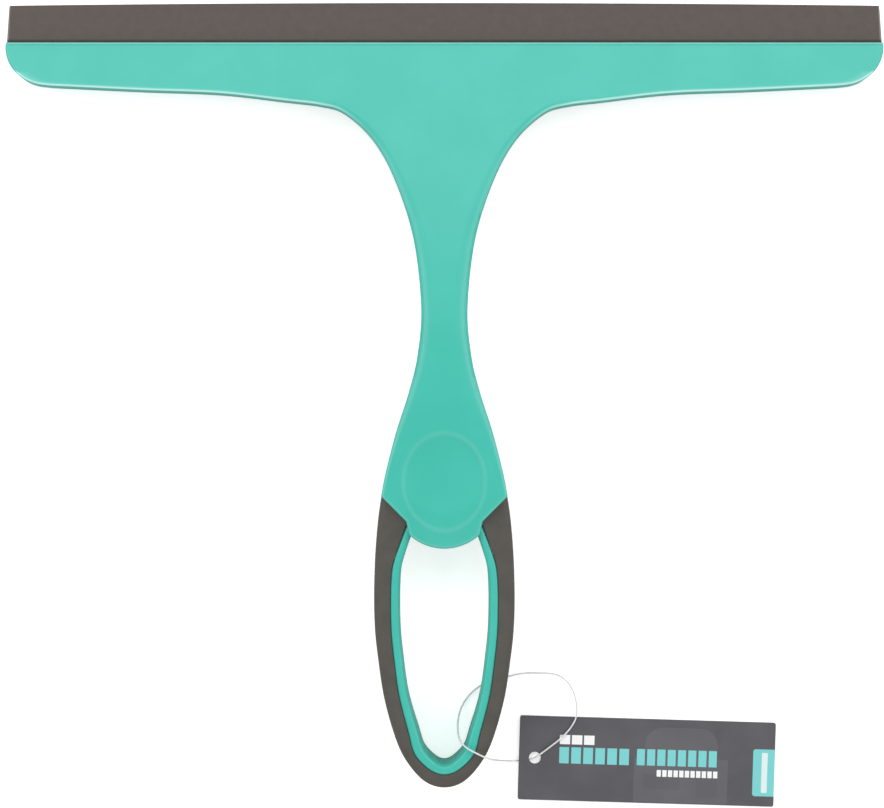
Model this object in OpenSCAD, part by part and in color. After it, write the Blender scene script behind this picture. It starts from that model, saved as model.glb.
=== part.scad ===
/* [Overall] */
// Length from the end of the handle loop to the tip of the blade
length = 268.4; // [225:0.1:325]
// Width of the head, which is also the length of the blade
head_w = 300; // [250:5:360]

/* [Head] */
// Slope of the head plate and the blade towards the work, in degrees
head_tilt = 10; // [6:1:14]
// Thickness of the jaws that hold the blade
jaw_t = 9; // [8:0.5:12]
// Depth of the jaws behind the lip
jaw_d = 13; // [12:0.5:15]
// Thickness of the head plate behind the jaws
plate_t = 5.6; // [4.5:0.1:7]
// Depth of the head at its ends, from the lip to the rear edge
head_d = 15.5; // [14:0.5:18]

/* [Blade] */
// How far the blade stands out of the jaws
blade_out = 14.7; // [11:0.1:18]
// Thickness of the blade where it leaves the jaws
blade_t = 2.8; // [2.2:0.1:3.4]
// Thickness of the blade at its wiping edge
blade_tip_t = 1.8; // [1.2:0.1:2.2]
// Thickness of the bead that locks the blade in its channel
bead_t = 4.8; // [4:0.1:5.8]
// Depth of the bead
bead_d = 3; // [2.5:0.1:3.5]
// Depth of the web between the lip and the bead
web_d = 6; // [5:0.1:6.5]
// Gap between the blade and its channel, on every side
blade_gap = 0.15; // [0.1:0.05:0.3]

/* [Handle] */
// Width of the neck at its narrowest
neck_w = 15.6; // [14:0.2:20]
// Width of the loop at its widest
loop_w = 47.5; // [40:0.1:58]
// Height of the handle at the thumb pad
pad_z = 25; // [22:0.5:28]
// Height of the loop at its end
end_z = 13.6; // [12:0.2:16]
// Width of the grip band along the sides of the loop
grip_w = 5.6; // [4.5:0.1:6.8]
// Width of the rim between the grip and the opening
rim_w = 3; // [2.6:0.1:4]
// Height of the rib inside the grip, which the grip is moulded around
core_rib_h = 5; // [4:0.5:6]
// How far the thumb pad stands above the loop
pad_step = 1.4; // [0.8:0.1:2]
// Width of the thumb dish
dish_w = 27.4; // [22:0.1:29]
// Length of the thumb dish
dish_l = 32.4; // [26:0.1:34]
// Depth of the thumb dish
dish_d = 1.6; // [1:0.1:2]

/* [Coring] */
// Thickness of the handle's side walls around the rear pockets
core_wall = 2.4; // [2:0.1:3]
// Thickness of the front skin over the rear pockets
core_skin = 4.2; // [3.6:0.1:5]
// Thickness of the ribs between the rear pockets
rib_t = 1.8; // [1.4:0.1:2.4]
// Spacing of the ribs
rib_pitch = 19; // [15:1:22]

/* [Tag] */
// Length of the hang tag
tag_l = 88.4; // [70:0.2:90]
// Width of the hang tag
tag_w = 29; // [24:0.5:34]
// Thickness of the hang tag
tag_t = 0.5; // [0.3:0.05:0.6]
// Diameter of the hole in the hang tag
tag_hole = 4.1; // [3.8:0.1:4.8]
// Diameter of the nylon thread
thread_d = 0.6; // [0.5:0.05:0.7]
// Diameter of the lock that joins the thread's two ends
lock_d = 2.6; // [2.2:0.1:2.8]

/* [Hidden] */
$fn = 64;
eps = 0.01;
SPAN_STEPS = 4;
TALL = 60;

turquoise = [0.37, 0.80, 0.74];
taupe = [0.36, 0.35, 0.32];
rubber = [0.38, 0.35, 0.33];
card = [0.36, 0.36, 0.38];
nylon = [0.92, 0.93, 0.92];

// Places along Y, which runs from the end of the loop to the tip of the blade
end_y = -length / 2;
lip_y = length / 2 - blade_out * cos(head_tilt);
rear_y = lip_y - head_d;
// The channel's middle at the lip stands so high that the jaws rest on a flat strip
rest_strip = 4.8;
lip_z = jaw_t / 2 * cos(head_tilt) - rest_strip * sin(head_tilt);
plate_z = lip_z + jaw_t / 2 * cos(head_tilt);
corner_w = 16;
corner_d = 14;
shoulder = [0.8885 * loop_w / 2, end_y + 99.6];
inner_corner = [0.537 * loop_w / 2, end_y + 91.1];
pad_corner = [0.495 * loop_w / 2, end_y + 86.6];
pad_end_y = end_y + 81.9;
dish_y = end_y + 104.4;
widest_y = end_y + 65.5;
// A share of the way from the head's rear edge to the shoulder
function down(share) = rear_y - share * (rear_y - shoulder[1]);

// Smooth curve through the points p, with SPAN_STEPS steps from each point to the next.
// It leaves the last point on its way to the point beyond
function span(a, b, c, d, t) = 0.5 * (2 * b + (c - a) * t + (2 * a - 5 * b + 4 * c - d) * t * t
    + (3 * b - a - 3 * c + d) * t * t * t);
function curve(p, beyond) = let (n = len(p) - 1, q = concat(p, [is_undef(beyond) ? p[n] : beyond])) [
    for (i = [0:n - 1], k = [0:SPAN_STEPS - 1])
        span(q[max(i - 1, 0)], q[i], q[i + 1], q[i + 2], k / SPAN_STEPS),
    p[n]
];
// A whole outline from its right half, which runs from the blade's end to the loop's end. Points that
// an inset has carried across the centre line are left out
function both_sides(p) = let (last = len(p) - 1) concat(
    [for (i = [0:last]) if (p[i][0] > eps || i == last) p[i]],
    [for (i = [last:-1:0]) if (p[i][0] > eps) [-p[i][0], p[i][1]]]
);
function unit(v) = v / norm(v);
// The way a curve runs at its point i: straight across where it meets the centre line
function way_at(p, i) = p[i][0] < eps ? [-1, 0] : unit(p[min(i + 1, len(p) - 1)] - p[max(i - 1, 0)]);
// Each point of the right half-outline p moved inwards by w(y)
function inset(p, w) = [
    for (i = [0:len(p) - 1])
        let (t = way_at(p, i)) p[i] + w(p[i][1]) * [t[1], -t[0]]
];

// Right half of the outline: the head's rounded corner, its rear edge, and the flare into the neck
head_corner = [
    for (a = [0:15:75])
        [head_w / 2 - corner_w + corner_w * cos(a), rear_y + corner_d * (1 - sin(a))]
];
neck_edge = curve([
    [head_w / 2 - corner_w, rear_y],
    [0.69 * head_w / 2, rear_y - 1.5],
    [0.51 * head_w / 2, rear_y - 2.6],
    [54, rear_y - 5.2],
    [42, rear_y - 6.7],
    [34, rear_y - 9.3],
    [neck_w / 2 + 16.8, down(0.13)],
    [neck_w / 2 + 9.4, down(0.225)],
    [neck_w / 2 + 2.85, down(0.37)],
    [neck_w / 2, down(0.54)],
    [neck_w / 2 + 1.15, down(0.66)],
    [0.2 * neck_w + 0.368 * loop_w / 2, down(0.75)],
    [0.676 * loop_w / 2, down(0.845)],
    [0.819 * loop_w / 2, down(0.94)],
    shoulder
]);
// Right half of the loop's outer edge, from the shoulder to the end
loop_edge = curve([
    shoulder,
    [0.94 * loop_w / 2, shoulder[1] - 8.5],
    [0.982 * loop_w / 2, widest_y + 13.5],
    [loop_w / 2, widest_y],
    [0.988 * loop_w / 2, end_y + 54.2],
    [0.943 * loop_w / 2, end_y + 44],
    [0.855 * loop_w / 2, end_y + 30.2],
    [0.69 * loop_w / 2, end_y + 16.3],
    [0.522 * loop_w / 2, end_y + 8.3],
    [0.275 * loop_w / 2, end_y + 2],
    [0, end_y]
], [-0.275 * loop_w / 2, end_y + 2]);
// The grip is a band that widens steadily towards its two ends under the thumb pad, and is narrowest
// on either side of the loop's end, where the rim is widest
function grip_at(y) = let (up = y - end_y, t = up - 76)
    grip_w * (1 - 0.12 * max(0, 1 - up / 60) - 0.2 * exp(-pow((up - 9) / 6, 2)))
    + 0.14 * (t + sqrt(t * t + 9));
function rim_at(y) = let (up = y - end_y)
    rim_w * (1 + 0.17 * exp(-pow((up - 12) / 8, 2)) - 0.1 * max(0, (up - 78) / 10));
seam_edge = inset(loop_edge, function (y) grip_at(y));
core_edge = inset(loop_edge, function (y) grip_at(y) / 2);
hole_edge = inset(seam_edge, function (y) rim_at(y));

// Side view, as [y, z]: the front face, from the lip to the pad's end, and the face beneath
front = curve([
    [lip_y, plate_z],
    [rear_y - 4, plate_z + (head_d + 4) * tan(head_tilt)],
    [rear_y - 20, plate_z + (head_d + 20) * tan(head_tilt)],
    [down(0.31), pad_z - 6.8],
    [down(0.47), pad_z - 3.5],
    [down(0.65), pad_z - 0.8],
    [down(0.81), pad_z + 0.2],
    [dish_y, pad_z],
    [pad_end_y + 8, pad_z - 1.4],
    [pad_end_y, pad_z - 3.2]
]);
loop_front = curve([
    [dish_y + 8, pad_z - pad_step - 0.2],
    [shoulder[1], pad_z - pad_step - 1.2],
    [pad_end_y, pad_z - pad_step - 3.6],
    [widest_y, pad_z - pad_step - 5.6],
    [end_y + 44, end_z + 3],
    [end_y + 20, end_z + 1],
    [end_y, end_z]
]);
under_z = plate_z - plate_t / cos(head_tilt);
back = curve([
    [lip_y - jaw_d - 2, under_z + (jaw_d + 2) * tan(head_tilt)],
    [rear_y - 6, under_z + (head_d + 6) * tan(head_tilt)],
    [rear_y - 20, under_z + (head_d + 20) * tan(head_tilt) - 1.2],
    [down(0.31), pad_z - 15.6],
    [down(0.47), pad_z - 13.6],
    [down(0.65), pad_z - 12.6],
    [down(0.81), pad_z - 13],
    [dish_y, pad_z - 15.2],
    [pad_end_y, 7.2],
    [widest_y, 5.6],
    [end_y + 50, 5],
    [end_y + 36, 4.2],
    [end_y + 27, 2.2],
    [end_y + 19, 0]
]);

// Extrude a side view across the whole width
module across(w) {
    rotate([90, 0, 90]) linear_extrude(w, center = true) children();
}
// Work in the channel's own directions: +Y out of the lip, +Z across the jaws
module at_lip() {
    translate([0, lip_y, lip_z]) rotate([-head_tilt, 0, 0]) children();
}

module shield() {
    linear_extrude(TALL) polygon(both_sides(concat(
        [[head_w / 2, lip_y]], head_corner, neck_edge, [inner_corner, pad_corner])));
}
module head_and_neck() {
    intersection() {
        shield();
        across(head_w) polygon(concat(
            front, [for (i = [len(back) - 1:-1:0]) if (back[i][0] > pad_end_y - eps) back[i]],
            [[lip_y - jaw_d, (jaw_d - rest_strip) * tan(head_tilt)],
                [lip_y - rest_strip, 0], [lip_y, 0]]));
    }
}
// The end of the thumb pad bulges into the opening between its two corners
module pad_end() {
    rise = pad_corner[1] - pad_end_y;
    r = (pow(pad_corner[0], 2) + pow(rise, 2)) / (2 * rise);
    intersection() {
        translate([0, pad_end_y + r, 0]) cylinder(r = r, h = TALL);
        translate([-pad_corner[0], pad_end_y - 1, 0]) cube([2 * pad_corner[0], rise + 2, TALL]);
        across(loop_w) polygon(concat(
            [for (p = front) if (p[0] < pad_end_y + 12) p],
            [for (i = [len(back) - 1:-1:0]) if (back[i][0] > pad_end_y - eps
                && back[i][0] < pad_end_y + 16) back[i]]));
    }
}
// Side view of the loop, from under the pad to its end
module loop_side() {
    across(loop_w + 2) polygon(concat(
        loop_front, [[end_y, 0]],
        [for (i = [len(back) - 1:-1:0]) if (back[i][0] < dish_y + 8) back[i]]));
}
module rim() {
    intersection() {
        linear_extrude(TALL) difference() {
            polygon(both_sides(seam_edge));
            polygon(both_sides(hole_edge));
        }
        loop_side();
    }
}
// A rib around the rim that carries the grip moulded over it
module core_rib() {
    inwards = (end_z - core_rib_h) / 2;
    intersection() {
        linear_extrude(TALL) difference() {
            polygon(both_sides(core_edge));
            polygon(both_sides(seam_edge));
        }
        translate([0, 0, -inwards]) loop_side();
        translate([0, 0, inwards]) loop_side();
    }
}
// Channel for the blade, open at both ends of the head
module channel() {
    g = blade_gap;
    at_lip() across(head_w + 2) polygon([
        [1, blade_t / 2 + g], [-web_d + g, blade_t / 2 + g], [-web_d + g, bead_t / 2 + g],
        [-web_d - bead_d - g, bead_t / 2 + g], [-web_d - bead_d - g, -bead_t / 2 - g],
        [-web_d + g, -bead_t / 2 - g], [-web_d + g, -blade_t / 2 - g], [1, -blade_t / 2 - g]
    ]);
}
// Shallow oval dish for the thumb, cut by a large stretched sphere
module dish() {
    r = (pow(dish_w / 2, 2) + pow(dish_d, 2)) / (2 * dish_d);
    translate([0, dish_y, pad_z - dish_d + r]) scale([1, dish_l / dish_w, 1]) sphere(r, $fn = 128);
}
// Pockets in the back of the neck, with a rib between each pair
module pockets() {
    first = dish_y - 6;
    last = rear_y - 26;
    side = inset(neck_edge, function (y) core_wall);
    inside = [for (p = side) if (p[1] > first && p[1] < last) p];
    top = [for (p = front) if (p[0] > first - 4 && p[0] < last + 8) p];
    difference() {
        intersection() {
            linear_extrude(TALL) polygon(both_sides(inside));
            translate([0, 0, -core_skin]) across(loop_w)
                polygon(concat(top, [[first - 4, -5], [last + 8, -5]]));
        }
        for (y = [first + rib_pitch:rib_pitch:last - rib_t])
            translate([-loop_w / 2, y, -1]) cube([loop_w, rib_t, TALL]);
    }
}

module body() {
    color(turquoise) difference() {
        union() {
            head_and_neck();
            pad_end();
            rim();
            core_rib();
        }
        channel();
        dish();
        pockets();
    }
}
// Soft band moulded around the loop, from one side of the thumb pad to the other
module grip() {
    color(taupe) difference() {
        intersection() {
            linear_extrude(TALL) difference() {
                polygon(both_sides(loop_edge));
                polygon(both_sides(seam_edge));
            }
            loop_side();
        }
        core_rib();
        shield();
    }
}
// The blade's two ends follow the head's rounded corners where they lie in the channel
module blade() {
    root = -web_d - bead_d;
    color(rubber) intersection() {
        at_lip() across(head_w) polygon([
            [blade_out, blade_tip_t / 2], [0, blade_t / 2], [-web_d, blade_t / 2],
            [-web_d, bead_t / 2], [root, bead_t / 2], [root, -bead_t / 2], [-web_d, -bead_t / 2],
            [-web_d, -blade_t / 2], [0, -blade_t / 2], [blade_out, -blade_tip_t / 2]
        ]);
        linear_extrude(TALL, center = true)
            polygon(both_sides(concat([[head_w / 2, length / 2 + 1]], head_corner)));
    }
}

// The hole in the tag, the tag's turn about it, and its slope down to the surface it lies on
hole_at = [31.2, end_y + 8.3];
hole_in = 5.5;
tag_turn = -1.8;
lift = thread_d + 0.25;
tag_slope = asin(lift / tag_l);
module hang_tag() {
    r = 0.7;
    color(card) translate([hole_at[0], hole_at[1], 0]) rotate([0, 0, tag_turn])
        translate([0, 0, lift]) rotate([0, tag_slope, 0]) translate([-hole_in, 0, 0]) difference() {
            linear_extrude(tag_t) difference() {
                union() {
                    translate([0, r - tag_w / 2]) square([tag_l, tag_w - 2 * r]);
                    translate([r, -tag_w / 2]) square([tag_l - 2 * r, tag_w]);
                    for (x = [r, tag_l - r], y = [-1, 1])
                        translate([x, y * (tag_w / 2 - r)]) circle(r);
                }
                translate([hole_in, 0]) circle(d = tag_hole);
            }
        }
}

// The thread leaves the socket, lies over the tag, goes down through its hole, runs back under its
// edge, climbs over the loop's end into the opening and meets the lock again from the other side.
// Its places along Y are measured from the loop's end
ROUTE = [
    [19.9, 35.6, 1.3], [21.7, 36.2, 1.3], [25, 37, 0.7], [28.5, 37.4, 0.35], [32.5, 37.4, 0.35],
    [36, 37.3, 0.35], [39.2, 36.7, 0.5], [42.2, 34.7, 1], [44.4, 31.4, 1.6], [45.4, 27.9, 1.8],
    [45.7, 24.9, 1.8], [45.2, 21.7, 1.75], [43.2, 18.3, 1.75], [40.2, 15.1, 1.8], [36.6, 12.3, 1.9],
    [34.2, 10.5, 1.95], [32.4, 9.2, 1.7], [31.2, 8.3, 1.05], [30, 7.8, 0.6], [28, 7.4, 0.35],
    [25.4, 7.2, 0.4], [22.8, 7.3, 1.6], [20.8, 7.8, 4], [19, 8.5, 7.2], [17.3, 9.3, 10.8],
    [15.5, 10.2, 14], [13.4, 11.2, 15.3], [11, 12.4, 15.7], [8.7, 13.6, 15.8], [6.9, 14.8, 15.5],
    [5.6, 16.1, 14.2], [4.9, 17.3, 11.2], [4.6, 18.9, 7.4], [4.7, 21.5, 3.8], [5.5, 24.7, 1.7],
    [6.9, 27.5, 0.8], [9.2, 30.5, 0.9], [12.4, 33.1, 1.3], [14.2, 33.7, 1.3]
];
thread_route = [for (p = ROUTE) p + [0, end_y, 0]];
// A tube swept along the points p: rings of SIDES points, each square to the route
SIDES = 8;
function heading(p, i) = unit(p[min(i + 1, len(p) - 1)] - p[max(i - 1, 0)]);
function ring(c, t, r) = let (u = unit(cross(t, [0.02, 0.3, 1])), v = cross(t, u))
    [for (k = [0:SIDES - 1]) c + r * (cos(360 * k / SIDES) * u + sin(360 * k / SIDES) * v)];
module tube(p, d) {
    n = len(p);
    polyhedron(
        [for (i = [0:n - 1]) each ring(p[i], heading(p, i), d / 2)],
        concat(
            [[for (k = [0:SIDES - 1]) k]],
            [for (i = [0:n - 2], k = [0:SIDES - 1]) let (j = (k + 1) % SIDES)
                [i * SIDES + k, (i + 1) * SIDES + k, (i + 1) * SIDES + j, i * SIDES + j]],
            [[for (k = [SIDES - 1:-1:0]) (n - 1) * SIDES + k]]
        )
    );
}
module tag_thread() {
    color(nylon) tube(thread_route, thread_d);
}

// The lock lies between the thread's two ends: a barbed tip pushed into a socket
tip_end = thread_route[len(thread_route) - 1];
socket_end = thread_route[0];
lock_l = norm(socket_end - tip_end);
collar_l = 2.5;
pin_r = 0.6;
barb_r = 0.85;
lock_gap = 0.1;
module at_lock() {
    way = socket_end - tip_end;
    translate(tip_end) rotate([0, 90, atan2(way[1], way[0])]) rotate_extrude() children();
}
module tag_lock_tip() {
    r = lock_d / 2 - 0.2;
    color(nylon) at_lock() polygon([
        [0, 0], [r - 0.4, 0], [r, 0.4], [r, collar_l], [pin_r, collar_l], [pin_r, collar_l + 1.1],
        [barb_r, collar_l + 1.1], [pin_r, collar_l + 2], [0, collar_l + 2]
    ]);
}
module tag_lock_socket() {
    r = lock_d / 2;
    color(nylon) at_lock() polygon([
        [pin_r + lock_gap, collar_l], [r, collar_l], [r, lock_l - 0.5], [r - 0.5, lock_l], [0, lock_l],
        [0, collar_l + 2.3], [barb_r + lock_gap, collar_l + 2.3], [barb_r + lock_gap, collar_l + 0.9],
        [pin_r + lock_gap, collar_l + 0.9]
    ]);
}

body();
grip();
blade();
hang_tag();
tag_thread();
tag_lock_socket();
tag_lock_tip();
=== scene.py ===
"""A window squeegee: a moulded handle with a soft grip, a rubber blade and a hang tag on a thread.

Shapes are worked out in millimetres and written to the meshes in metres. X runs along the blade,
Y from the end of the loop to the tip of the blade, and Z up from the surface it lies on.
"""
from __future__ import annotations

import logging
from dataclasses import dataclass
from enum import Enum
from math import cos, pi, radians, sin, tan
from typing import Any, Callable, Sequence

import bmesh
import bpy
import numpy as np
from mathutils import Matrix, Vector


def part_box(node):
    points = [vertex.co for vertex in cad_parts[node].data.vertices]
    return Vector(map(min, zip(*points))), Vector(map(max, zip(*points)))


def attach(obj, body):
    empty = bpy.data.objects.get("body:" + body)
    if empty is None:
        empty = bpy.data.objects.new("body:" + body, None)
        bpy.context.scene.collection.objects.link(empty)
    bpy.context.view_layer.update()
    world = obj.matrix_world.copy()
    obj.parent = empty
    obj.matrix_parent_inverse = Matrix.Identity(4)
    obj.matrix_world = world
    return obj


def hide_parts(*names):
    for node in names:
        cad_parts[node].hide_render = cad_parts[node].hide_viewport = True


Array = np.ndarray
Face = Callable[[Array, Array], Array]
Curve = Callable[[Array], Array]
Colour = tuple[float, float, float, float]

log = logging.getLogger("squeegee")
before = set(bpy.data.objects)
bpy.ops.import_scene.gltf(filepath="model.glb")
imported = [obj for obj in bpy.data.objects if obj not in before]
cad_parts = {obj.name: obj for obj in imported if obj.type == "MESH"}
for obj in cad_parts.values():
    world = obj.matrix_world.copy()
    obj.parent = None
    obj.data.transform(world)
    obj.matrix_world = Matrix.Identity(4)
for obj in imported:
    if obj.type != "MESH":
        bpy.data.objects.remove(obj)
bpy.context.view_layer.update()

MM = 0.001
CREASE = 35.0
ROUND_STEPS = 6
SAME = 1e-6
# Mesh attribute that carries the painted edge highlight.
EDGE = "edge_light"


class Body(Enum):
    """The frame's bodies that new pieces ride on."""

    SQUEEGEE = "squeegee"
    WIPER = "wiper"


class Slot(Enum):
    """Names of the record's material slots for the new pieces' finishes."""

    PLASTIC = "moulded_plastic"
    GRIP = "soft_grip"
    RUBBER = "wiper_rubber"
    NYLON = "clear_nylon"


# ---------------------------------------------------------------- curves and profiles


def smooth(points: Sequence[Sequence[float]], beyond: Sequence[float] | None = None,
           steps: int = 16) -> Array:
    """Smooth curve through points.

    Between b and c, with a before them and d after them, the place at t from 0 to 1 is half of
    2b + (c - a)t + (2a - 5b + 4c - d)t^2 + (3b - a - 3c + d)t^3.

    Args:
        points: The points that the curve passes through.
        beyond: A point that the curve is heading for when it ends.
        steps: Steps from each point to the next.

    Returns:
        The curve's places, one row each.
    """
    p = np.asarray(points, float)
    after = p[-1] if beyond is None else np.asarray(beyond, float)
    q = np.vstack([p[:1], p, after[None]])
    a, b, c, d = (part[:, None, :] for part in (q[:-3], q[1:-2], q[2:-1], q[3:]))
    t = (np.arange(steps) / steps)[None, :, None]
    spans = 0.5 * (2 * b + (c - a) * t + (2 * a - 5 * b + 4 * c - d) * t ** 2
                   + (3 * b - a - 3 * c + d) * t ** 3)
    return np.vstack([spans.reshape(-1, p.shape[1]), p[-1:]])


def profile(points: Sequence[Sequence[float]]) -> Curve:
    """Function that gives the second number of a smooth curve at a value of its first."""
    dense = smooth(points, steps=64)
    dense = dense[np.argsort(dense[:, 0], kind="stable")]
    return lambda y: np.interp(y, dense[:, 0], dense[:, 1])


def softened(points: Sequence[Sequence[float]], width: float) -> Curve:
    """Function of a straight-sided line whose corners are blurred.

    The line is sampled evenly, and each sample becomes the mean of its neighbours within the
    width, twice over.

    Args:
        points: Corners of the line, with rising first numbers.
        width: Width of the blur in millimetres.

    Returns:
        The line as a function.
    """
    p = np.asarray(points, float)
    fine = np.arange(p[0, 0], p[-1, 0], 0.05)
    kernel = np.ones(max(3, int(width / 0.05) | 1))
    kernel /= kernel.sum()
    half = len(kernel) // 2
    line = np.interp(fine, p[:, 0], p[:, 1])
    for _ in range(2):
        line = np.convolve(np.pad(line, half, mode="edge"), kernel, mode="valid")
    return lambda y: np.interp(y, fine, line)


def bell(value: Array, middle: float, width: float) -> Array:
    """Bell curve: e to the power of minus the square of (value - middle) / width."""
    return np.exp(-((value - middle) / width) ** 2)


def unit(v: Array) -> Array:
    """Rows of v, each made one long."""
    return v / np.linalg.norm(v, axis=-1, keepdims=True)


def inwards(side: Array) -> Array:
    """Unit vectors to the right of the way along a side that runs down the right half."""
    way = unit(np.gradient(side, axis=0))
    return np.stack([way[:, 1], -way[:, 0]], axis=1)


def respaced(line: Array, spacing: Curve) -> Array:
    """A line's places again, at distances apart that depend on Y.

    The line's length is counted in units of the local spacing, and places are taken at whole
    numbers of them.

    Args:
        line: Places along the line, one row each.
        spacing: Distance between places, as a function of Y.

    Returns:
        The new places, with the same two ends.
    """
    steps = np.linalg.norm(np.diff(line, axis=0), axis=1)
    middle = (line[1:, 1] + line[:-1, 1]) / 2
    count = np.concatenate([[0], np.cumsum(steps / spacing(middle))])
    at = np.linspace(0, count[-1], int(round(count[-1])) + 1)
    return np.stack([np.interp(at, count, line[:, k]) for k in range(line.shape[1])], axis=1)


def rounded(corners: Sequence[Sequence[float]], radii: Sequence[float], steps: int = 4) -> Array:
    """Closed polygon whose corners are rounded.

    Each corner q becomes the curve (1-t)^2 a + 2t(1-t) q + t^2 b, where a and b lie at the
    corner's radius along its two edges.

    Args:
        corners: Corners of the polygon.
        radii: How far along its edges each corner's rounding starts.
        steps: Steps in each rounding.

    Returns:
        The polygon's places.
    """
    q = np.asarray(corners, float)
    r = np.asarray(radii, float)[:, None]
    a = q + r * unit(np.roll(q, 1, axis=0) - q)
    b = q + r * unit(np.roll(q, -1, axis=0) - q)
    t = np.linspace(0, 1, steps + 1)[None, :, None]
    arcs = (1 - t) ** 2 * a[:, None] + 2 * t * (1 - t) * q[:, None] + t ** 2 * b[:, None]
    return arcs.reshape(-1, 2)


# ---------------------------------------------------------------- meshes


def quads(rows: int, columns: int, closed: bool = False) -> Array:
    """Corner numbers of the faces of a grid, whose rows may close on themselves."""
    index = np.arange(rows * columns).reshape(rows, columns)
    if closed:
        index = np.hstack([index, index[:, :1]])
    return np.stack([index[:-1, :-1], index[1:, :-1], index[1:, 1:], index[:-1, 1:]],
                    axis=-1).reshape(-1, 4)


def solid(name: str, places: Array, faces: list[list[int]], crease: float = CREASE
          ) -> bpy.types.Object:
    """Closed object from places in millimetres.

    Args:
        name: The object's name.
        places: Corners of the faces, one row each.
        faces: Corner numbers of each face.
        crease: Edges that turn more than this many degrees stay sharp.

    Returns:
        The object, at the origin, with its normals outwards.
    """
    mesh = bpy.data.meshes.new(name)
    mesh.from_pydata((places * MM).tolist(), [], faces)
    tidy(mesh, crease)
    return linked(name, mesh)


def linked(name: str, data: bpy.types.ID) -> bpy.types.Object:
    """New object in the scene, at the origin, that shows some data."""
    item = bpy.data.objects.new(name, data)
    bpy.context.collection.objects.link(item)
    return item


def tidy(mesh: bpy.types.Mesh, crease: float) -> None:
    """Merge a mesh's double places, turn its faces outwards and smooth it up to the crease."""
    shape = bmesh.new()
    shape.from_mesh(mesh)
    bmesh.ops.remove_doubles(shape, verts=shape.verts, dist=SAME)
    bmesh.ops.dissolve_degenerate(shape, edges=shape.edges, dist=SAME)
    bmesh.ops.recalc_face_normals(shape, faces=shape.faces)
    shape.to_mesh(mesh)
    shape.free()
    mesh.shade_smooth()
    mesh.set_sharp_from_angle(angle=radians(crease))
    mesh.update()


def combined(piece: bpy.types.Object, operation: str, other: bpy.types.Object, crease: float
             ) -> None:
    """Join another closed object to a piece, or cut it out, and remove the other object."""
    change = piece.modifiers.new(operation, "BOOLEAN")
    change.operation = operation
    change.object = other
    change.solver = "MANIFOLD"
    graph = bpy.context.evaluated_depsgraph_get()
    mesh = bpy.data.meshes.new_from_object(piece.evaluated_get(graph))
    old = piece.data
    piece.modifiers.clear()
    piece.data = mesh
    mesh.name = piece.name
    bpy.data.meshes.remove(old)
    bpy.data.objects.remove(other)
    tidy(mesh, crease)


def tube(name: str, sections: Array) -> bpy.types.Object:
    """Closed object through sections of as many places each, with flat ends.

    Args:
        name: The object's name.
        sections: Places by section, by place around it, and by axis.

    Returns:
        The object.
    """
    rows, around = sections.shape[:2]
    faces = quads(rows, around, closed=True).tolist()
    faces.append(list(range(around)))
    faces.append(list(range(rows * around - 1, (rows - 1) * around - 1, -1)))
    return solid(name, sections.reshape(-1, 3), faces)


@dataclass
class Layer:
    """One ring around a slab: its inset from the outline, and its height over or under a face."""

    inset: Array
    face: Face
    lift: Array


def rounding(across: Array, down: Array, face: Face, sign: int) -> list[Layer]:
    """Layers of a rounded edge, from the face to the wall.

    At an angle from 0 to 90 degrees, the inset is the width across times 1 - sin and the drop is
    the depth times 1 - cos, so each is a quarter of an ellipse.

    Args:
        across: Width of the rounding at each place of the side.
        down: Depth of the rounding at each place of the side.
        face: The face that the edge belongs to.
        sign: -1 under a top face, 1 over a bottom face.

    Returns:
        The layers in order from the face.
    """
    angles = np.linspace(0, pi / 2, ROUND_STEPS + 1)
    return [Layer(across * (1 - sin(a)), face, sign * down * (1 - cos(a))) for a in angles]


def slab(name: str, side: Array, normals: Array, columns: int, layers: list[Layer],
         crease: float = CREASE) -> bpy.types.Object:
    """Closed plate that is the same on its left as on its right.

    Its faces are grids: row i runs straight across at side i, at x = t times the side's x for t
    from -1 to 1, and its height is the face at that place. Rings through the layers close the
    plate between the first face and the last.

    Args:
        name: The object's name.
        side: Outline of the right half, from its first row to its last.
        normals: Which way each place of the side is inset.
        columns: Columns in each row.
        layers: Rings from the top face to the bottom face.
        crease: Edges that turn more than this many degrees stay sharp.

    Returns:
        The object.
    """
    t = np.linspace(-1, 1, columns + 1)

    def row(place: Array, shares: Array) -> Array:
        """Places of one straight row, for shares of its half width."""
        out = np.repeat(place[None], len(shares), axis=0)
        out[:, 0] *= shares
        return out

    def ring(layer: Layer) -> Array:
        """Places of a layer all around the plate."""
        right = np.column_stack([side + normals * layer.inset[:, None], layer.lift])
        left = right[::-1] * [-1, 1, 1]
        loop = np.concatenate([right, row(right[-1], t[-2:0:-1]), left, row(right[0], t[1:-1])])
        loop[:, 2] += layer.face(loop[:, 0], loop[:, 1])
        return loop

    def grid(layer: Layer) -> Array:
        """Places of the face that a layer bounds."""
        edge = side + normals * layer.inset[:, None]
        x = edge[:, :1] * t[None]
        y = np.repeat(edge[:, 1:], columns + 1, axis=1)
        return np.stack([x, y, layer.face(x, y) + layer.lift[:, None]], axis=-1).reshape(-1, 3)

    rings = [ring(layer) for layer in layers]
    top, bottom = grid(layers[0]), grid(layers[-1])
    face = quads(len(side), columns + 1)
    faces = np.concatenate([
        face,
        face[:, ::-1] + len(top),
        quads(len(rings), len(rings[0]), closed=True) + len(top) + len(bottom)])
    return solid(name, np.concatenate([top, bottom, *rings]), faces.tolist(), crease)


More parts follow.
